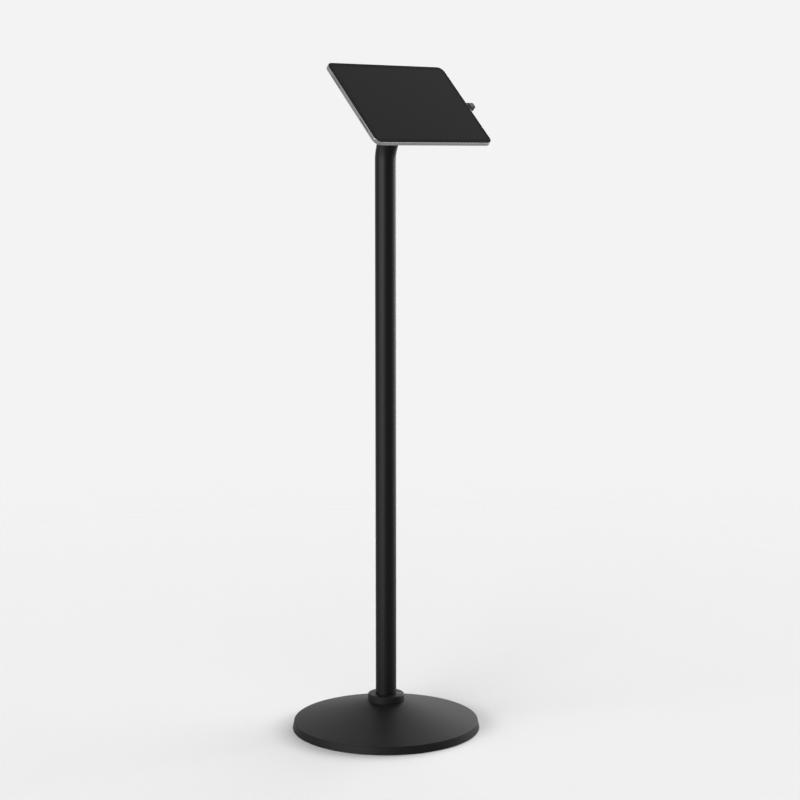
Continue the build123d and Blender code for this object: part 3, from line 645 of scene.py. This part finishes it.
def make_pole_tube():
    """The tube: a circle carried up, round the bend's arc and along the neck, and back down inside.

    A point at angle a on a circle of radius r lies r * cos a along X and r * sin a towards the bend's
    outside, a direction that turns with the path in the plane of the bend.
    """
    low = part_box("pole")[0]
    outer = np.abs(node_points("pole")[:, 0]).max()
    lean = np.arctan2(-OUT[1], OUT[2])
    bend_end = NECK_END - OUT * NECK_LENGTH
    bend_start = bend_end[2] - BEND_RADIUS * np.sin(lean)
    turn = np.linspace(0, lean, STEPS_IN_BEND + 1)
    rise = np.linspace(low[2], bend_start, STEPS_IN_POLE + 1)[:-1]
    level = np.zeros(STEPS_IN_POLE)
    centre_y = np.concatenate((level, -BEND_RADIUS * (1 - np.cos(turn)), [NECK_END[1]]))
    centre_z = np.concatenate((rise, bend_start + BEND_RADIUS * np.sin(turn), [NECK_END[2]]))
    heading = np.concatenate((level, turn, [lean]))
    there_and_back = np.concatenate((np.arange(heading.size), np.arange(heading.size)[::-1]))
    radius = np.repeat((outer, outer - POLE_WALL), heading.size)
    angle = np.arange(STEPS_ROUND) / STEPS_ROUND * tau
    across = np.cos(angle)[:, None] * radius[None, :]
    side = np.sin(angle)[:, None] * radius[None, :]
    heading, centre_y, centre_z = (values[there_and_back] for values in (heading, centre_y, centre_z))
    back = centre_y + side * np.cos(heading)
    height = centre_z + side * np.sin(heading)
    piece = make_mesh("pole_tube", [np.stack((across, back, height), axis=2)], ringed=True)
    return dress(piece, "powder_coat", "stand", ["pole"])


def make_collar_ring():
    """The collar: a turned ring with a rounded top edge over a narrow step, and its three screw seats."""
    outer, hole, bottom, top = standing_size("collar")
    step_in, step_up = outer - COLLAR_STEP, bottom + COLLAR_STEP
    profile = rounded_profile([
        (hole, bottom, 0), (step_in, bottom, 0), (step_in, step_up, 0), (outer, step_up, COLLAR_EDGE),
        (outer, top, COLLAR_ROUND), (hole, top, COLLAR_EDGE)])
    piece = make_mesh("collar_ring", [turned(profile, upright())], ringed=True)
    circle = (outer - COLLAR_ROUND + hole) / 2
    for angle in COLLAR_SCREW_ANGLES:
        tool = seat_tool(upright(*around(circle, angle)), top, bottom, COLLAR_SEAT, COLLAR_SHANK)
        carve(piece, make_mesh("seat_tool", [tool]))
    return dress(piece, "powder_coat", "stand", ["collar"], finish="shell_coat")


# Pieces of the holder

def make_holder_plate():
    """The face of the holder: a turned disc with a groove at its seam, cut for arm, magnets and screws."""
    low, high = held_box("holder_face")
    radius, spigot, top = high[0], high[0] - FACE_SPIGOT_INSET, high[2]
    seam = low[2] + FACE_SPIGOT
    groove = radius - FACE_GROOVE
    edge = rounded_profile([
        (groove, seam + FACE_GROOVE, 0), (groove, seam, 0), (radius, seam, FACE_SEAM_ROUND),
        (radius, top, FACE_EDGE_ROUND), (radius - FACE_FLAT_INSET, top, 0)])
    profile = np.concatenate(([(spigot, low[2]), (spigot, seam)], edge[1:]))
    piece = make_mesh("holder_plate", [turned(profile, outward())])
    key_low, key_high = seam + KEY_FLOOR, seam + KEY_ROOF
    reach = (radius + CHANNEL_RUN_OUT + CHANNEL_END) / 2
    middle = reach - CHANNEL_END
    for name, half, end in (("key_tool", KEY_HALF, key_high), ("bar_tool", BAR_HALF, top + PAST)):
        outline = ring_outline(STEPS_ROUND_CHANNEL, reach, half, CHANNEL_CORNER)
        carve(piece, make_mesh(name, [moulded(outline, [(0, key_low), (0, end)], outward(middle))]))
    pocket = [(MAGNET_RADIUS, top - MAGNET_DEPTH), (MAGNET_RADIUS, top + PAST)]
    tools = [turned(pocket, outward(*around(MAGNET_CIRCLE, angle)), STEPS_ROUND_POCKET)
             for angle in MAGNET_ANGLES]
    for angle in FACE_SCREW_ANGLES:
        place = outward(*around(FACE_SCREW_CIRCLE, angle))
        tools.append(seat_tool(place, top, low[2], FACE_SCREW_SEAT, FACE_SCREW_SHANK))
    stop = [(ARM_STOP_RADIUS, low[2] - PAST), (ARM_STOP_RADIUS, key_low + ARM_STOP_PAST)]
    tools.append(turned(stop, outward(ARM_STOP_PLACE), STEPS_ROUND_BORE))
    carve(piece, make_mesh("pocket_tool", tools))
    return dress(piece, "moulding", "holder", ["holder_face"])


def make_holder_cup():
    """The cup behind the face: a turned wall and web, its four bosses and the arc slot of the stop pin."""
    low, high = held_box("holder_body")
    local = (node_points("holder_body") - NECK_END) @ NECK_AXES
    hole = np.hypot(local[:, 0], local[:, 1]).min()
    radius, web = high[0], low[2] + HOLDER_WEB
    inside = radius - HOLDER_WALL
    profile = rounded_profile([
        (hole, low[2], HOLDER_LIP_ROUND), (radius, low[2], HOLDER_BACK_ROUND),
        (radius, high[2], HOLDER_LIP_ROUND), (inside, high[2], 0), (inside, web, HOLDER_WEB_ROUND),
        (hole, web, 0)], STEPS_PER_CUP_CORNER)
    piece = make_mesh("holder_cup", [turned(profile, outward())], ringed=True)
    slot = arc_outline(STEPS_ROUND_HOLE, STOP_RADIUS, radians(STOP_START), radians(STOP_TRAVEL),
                       STOP_SLOT / 2)
    through = [(0, low[2] - PAST), (0, web + PAST)]
    carve(piece, make_mesh("slot_tool", [moulded(slot, through, outward())]))
    foot = web - PAST
    head = high[2] - FACE_SPIGOT - BOSS_GAP
    boss = [(BOSS_BORE, foot), (BOSS_RADIUS, foot), (BOSS_RADIUS, head), (BOSS_BORE, head)]
    bosses = [turned(boss, outward(*around(FACE_SCREW_CIRCLE, angle)), STEPS_ROUND_SLOT)
              for angle in FACE_SCREW_ANGLES]
    join(piece, make_mesh("bosses", bosses, ringed=True))
    return dress(piece, "moulding", "holder", ["holder_body"])


def wall_run(outside, side=1):
    """The run of a cutting shape through the tablet's wall, at the side of +1 or of -1."""
    return [(0, side * (outside + PAST)), (0, side * (outside - TRAY_WALL - PAST))]


def make_tablet_tray():
    """The tablet's metal tray: its outline carried up inside, over the rim and down to the rounded back."""
    low, high = held_box("enclosure")
    glass_low = held_box("cover_glass")[0][2]
    half_width, half_depth, back, rim_top = high[0], high[1], low[2], high[2]
    floor = back + TRAY_FLOOR
    outline = ring_outline(STEPS_ROUND, half_width, half_depth, TABLET_CORNER)
    profile = np.concatenate((
        [(TRAY_WALL, floor), (TRAY_WALL, glass_low), (RIM_WIDTH, glass_low),
         (RIM_WIDTH, rim_top - RIM_BEVEL), (RIM_WIDTH - RIM_BEVEL, rim_top)],
        edge_round(rim_top, RIM_ROUND)[::-1], edge_round(back, TRAY_BACK_ROUND, top=False)[::-1]))
    piece = make_mesh("tablet_tray", [moulded(outline, profile, outward())])
    middle = (back + held_box("cover_glass")[1][2]) / 2
    row = SPEAKER_PITCH * (np.arange(SPEAKER_HOLES) - (SPEAKER_HOLES - 1) / 2)
    hole = ring_outline(STEPS_ROUND_HOLE, SPEAKER_RADIUS, SPEAKER_RADIUS, SPEAKER_RADIUS)
    tools = []
    for side in (-1, 1):
        for place in np.concatenate((row - SPEAKER_OFFSET, row + SPEAKER_OFFSET)):
            tools.append(moulded(hole, wall_run(half_width, side), sideways(place, middle)))
    port = ring_outline(STEPS_ROUND_SLOT, PORT_HALF_LENGTH, PORT_HALF_HEIGHT, PORT_HALF_HEIGHT)
    tools.append(moulded(port, wall_run(half_width), sideways(0, middle)))
    for place, length in BUTTONS.values():
        slot = ring_outline(STEPS_ROUND_SLOT, length / 2 + BUTTON_GAP, BUTTON_SLOT_HALF, BUTTON_SLOT_HALF)
        tools.append(moulded(slot, wall_run(half_depth), upslope(place, middle)))
    bore = [(CAMERA_BORE, back - PAST), (CAMERA_BORE, floor + PAST)]
    tools.append(turned(bore, outward(*CAMERA_SPOT), STEPS_ROUND_SMALL))
    carve(piece, make_mesh("opening_tool", tools))
    return dress(piece, "tablet_metal", "holder", ["enclosure"])


def make_front_glass():
    """The cover glass: a rounded slab, printed black round the display.

    The profile's last point moves the outline in to the display's edge, and the flat cap inside it, the
    mesh's last face, is the display.
    """
    low, high = held_box("cover_glass")
    border = high[0] - held_box("display_panel")[1][0]
    outline = ring_outline(STEPS_ROUND, high[0], high[1], TABLET_CORNER - RIM_WIDTH - GLASS_GAP)
    profile = np.concatenate(([(0, low[2])], edge_round(high[2], GLASS_EDGE_ROUND), [(border, high[2])]))
    piece = make_mesh("front_glass", [moulded(outline, profile, outward())])
    dress(piece, "glass", "holder", ["cover_glass"])
    piece.data.materials.append(MATERIALS["panel"])
    display = np.zeros(len(piece.data.polygons), np.int32)
    display[-1] = 1
    piece.data.polygons.foreach_set("material_index", display)
    return piece


def make_buttons():
    """The keys on the top side: a slot-shaped outline carried up with a softened top edge."""
    for name, (place, length) in BUTTONS.items():
        low, high = held_box(name)
        half_height = (high[2] - low[2]) / 2
        outline = ring_outline(STEPS_ROUND_POCKET, length / 2, half_height, half_height)
        profile = np.concatenate(([(0, low[1])], edge_round(high[1], BUTTON_EDGE_ROUND)))
        key = moulded(outline, profile, upslope(place, (low[2] + high[2]) / 2))
        dress(make_mesh(name + "_key", [key]), "tablet_metal", name, [name])


def make_camera():
    """The camera on the back: a turned metal ring round a glass disc whose edge falls away softly."""
    place = outward(*CAMERA_SPOT)
    low, high = held_box("camera_ring")
    outer = (high[0] - low[0]) / 2
    inner = outer - CAMERA_RING_WIDTH
    profile = rounded_profile([
        (inner, low[2], CAMERA_RING_INNER_ROUND), (outer, low[2], CAMERA_RING_ROUND), (outer, high[2], 0),
        (inner, high[2], 0)])
    ring = make_mesh("lens_ring", [turned(profile, place, STEPS_ROUND_SMALL)], ringed=True)
    dress(ring, "tablet_metal", "holder", ["camera_ring"])
    low, high = held_box("camera_lens")
    radius = (high[0] - low[0]) / 2
    share = np.linspace(0, 1, STEPS_IN_LENS + 1)[1:]
    dome = np.stack((radius * share, low[2] + LENS_FALL * share ** 4), axis=1)
    profile = np.concatenate((dome, [(radius, high[2])]))
    disc = make_mesh("lens_glass", [turned(profile, place, STEPS_ROUND_SMALL)])
    dress(disc, "lens", "holder", ["camera_lens"])


# Pieces of the connector

def make_cap():
    """The grey end of the arm, carried to the right and rounded over at its far edge.

    Where the profile moves the outline in, its corners grow rounder, from the arm's edge radius to what
    is left of half the cap's width.
    """
    low, high = held_box("connector_cap")
    half = (high - low) / 2
    middle = (high + low) / 2
    profile = np.concatenate((edge_round(low[0], CAP_FOOT_ROUND, top=False),
                              edge_round(high[0], CAP_ROUND, steps=STEPS_PER_CAP_CORNER)))
    share = np.clip((profile[:, 1] - high[0] + CAP_ROUND) / CAP_ROUND, 0, 1) ** 0.5
    corners = ARM_EDGE + share * (half[1] - CAP_ROUND - ARM_EDGE)
    rings = [ring_outline(STEPS_ROUND_SMALL, half[1] - inset, half[2] - inset, corner)[0]
             for (inset, _), corner in zip(profile, corners)]
    flat = np.stack(rings, axis=1)
    height = np.broadcast_to(profile[None, :, 1:2], flat.shape[:2] + (1,))
    points = sideways(middle[1], middle[2])(np.concatenate((flat, height), axis=2))
    piece = make_mesh("arm_cap", [points])
    seat = seat_tool(outward(low[0] + CAP_SCREW_PLACE, 0), low[2], low[2] + CAP_SCREW_DEPTH,
                     CAP_SCREW_SEAT, CAP_SCREW_SHANK)
    carve(piece, make_mesh("seat_tool", [seat]))
    return dress(piece, "cap_grey", "connector", ["connector_cap"])


def finish_nodes():
    """Every CAD node takes the finish of its slot, or its own where it has one."""
    for entry in frame["record"]["subparts"]:
        node = frame["nodes"][entry["node"]]
        finish = NODE_FINISHES.get(entry["node"], entry["material_slot"])
        node.data.materials.clear()
        node.data.materials.append(MATERIALS[finish])


# Stage, light and camera

def make_floor():
    """A wide flat floor that fades into the backdrop with its distance from the object."""
    reach = FLOOR_REACH
    corners = [(-reach, -reach, 0), (reach, -reach, 0), (reach, reach, 0), (-reach, reach, 0)]
    mesh = bpy.data.meshes.new("floor")
    mesh.from_pydata(corners, [], [(0, 1, 2, 3)])
    floor = bpy.data.objects.new("floor", mesh)
    bpy.context.collection.objects.link(floor)
    material = bpy.data.materials.new("floor_paint")
    material.use_nodes = True
    tree = material.node_tree
    shader = tree.nodes["Principled BSDF"]
    shader.inputs["Base Color"].default_value = (*tone(FLOOR_TONE), 1.0)
    shader.inputs["Roughness"].default_value = FLOOR_ROUGHNESS
    shader.inputs["Specular IOR Level"].default_value = 0.0
    distance = add_node(tree, "ShaderNodeVectorMath", {0: object_place(tree)}, operation="LENGTH")
    fade = add_node(tree, "ShaderNodeMapRange",
                    {"Value": distance.outputs["Value"], "From Min": FADE_START, "From Max": FADE_END},
                    interpolation_type="SMOOTHSTEP")
    clear = tree.nodes.new("ShaderNodeBsdfTransparent")
    mixed = add_node(tree, "ShaderNodeMixShader",
                     {0: fade.outputs["Result"], 1: shader.outputs[0], 2: clear.outputs[0]})
    tree.links.new(mixed.outputs[0], tree.nodes["Material Output"].inputs["Surface"])
    floor.data.materials.append(material)


def make_world():
    """A pale backdrop for what the camera, gloss and glass see, and a dim even light for the rest."""
    world = bpy.data.worlds.new("studio")
    bpy.context.scene.world = world
    world.use_nodes = True
    tree = world.node_tree
    tree.nodes.clear()
    path = tree.nodes.new("ShaderNodeLightPath")
    seen = math_node(tree, "MAXIMUM", path.outputs["Is Camera Ray"], path.outputs["Is Transmission Ray"])
    seen = math_node(tree, "MAXIMUM", seen, path.outputs["Is Glossy Ray"])
    backdrop = add_node(tree, "ShaderNodeBackground",
                        {"Color": (*tone(BACKDROP_TONE), 1.0), "Strength": 1.0})
    ambient = add_node(tree, "ShaderNodeBackground", {"Color": (1.0, 1.0, 1.0, 1.0), "Strength": AMBIENT})
    mixed = add_node(tree, "ShaderNodeMixShader",
                     {0: seen, 1: ambient.outputs[0], 2: backdrop.outputs[0]})
    out = tree.nodes.new("ShaderNodeOutputWorld")
    tree.links.new(mixed.outputs[0], out.inputs["Surface"])


def make_softbox(name, right_of_camera, elevation, spread_angle, strength):
    """A broad far-off soft light, placed by its turn to the camera's right and its elevation."""
    turn = radians(right_of_camera)
    height = radians(elevation)
    level = -CAMERA_AHEAD * np.cos(turn) + CAMERA_RIGHT * np.sin(turn)
    towards = level * np.cos(height) + Vector((0, 0, np.sin(height)))
    data = bpy.data.lights.new(name, "SUN")
    data.angle = radians(spread_angle)
    data.energy = strength
    lamp = bpy.data.objects.new(name, data)
    bpy.context.collection.objects.link(lamp)
    lamp.rotation_euler = (-towards).to_track_quat("-Z", "Y").to_euler()


def make_lights():
    """The softboxes round the object: the strongest at the front left, fainter ones behind and above."""
    for light in SOFTBOXES:
        make_softbox(*light)


def make_viewpoint():
    """The camera at the photograph's viewing angle."""
    data = bpy.data.cameras.new("camera")
    data.lens = CAMERA_LENS
    data.sensor_width = CAMERA_SENSOR
    data.clip_end = CAMERA_REACH
    camera = bpy.data.objects.new("camera", data)
    bpy.context.collection.objects.link(camera)
    camera.location = CAMERA_PLACE
    camera.rotation_euler = (radians(90 - CAMERA_PITCH), 0, radians(-CAMERA_HEADING))
    bpy.context.scene.camera = camera


bpy.context.scene.view_settings.view_transform = "Standard"
make_viewpoint()
make_world()
make_lights()
make_floor()
finish_nodes()
make_base_shell()
make_pole_tube()
make_collar_ring()
make_holder_plate()
make_holder_cup()
make_tablet_tray()
make_front_glass()
make_buttons()
make_camera()
make_cap()
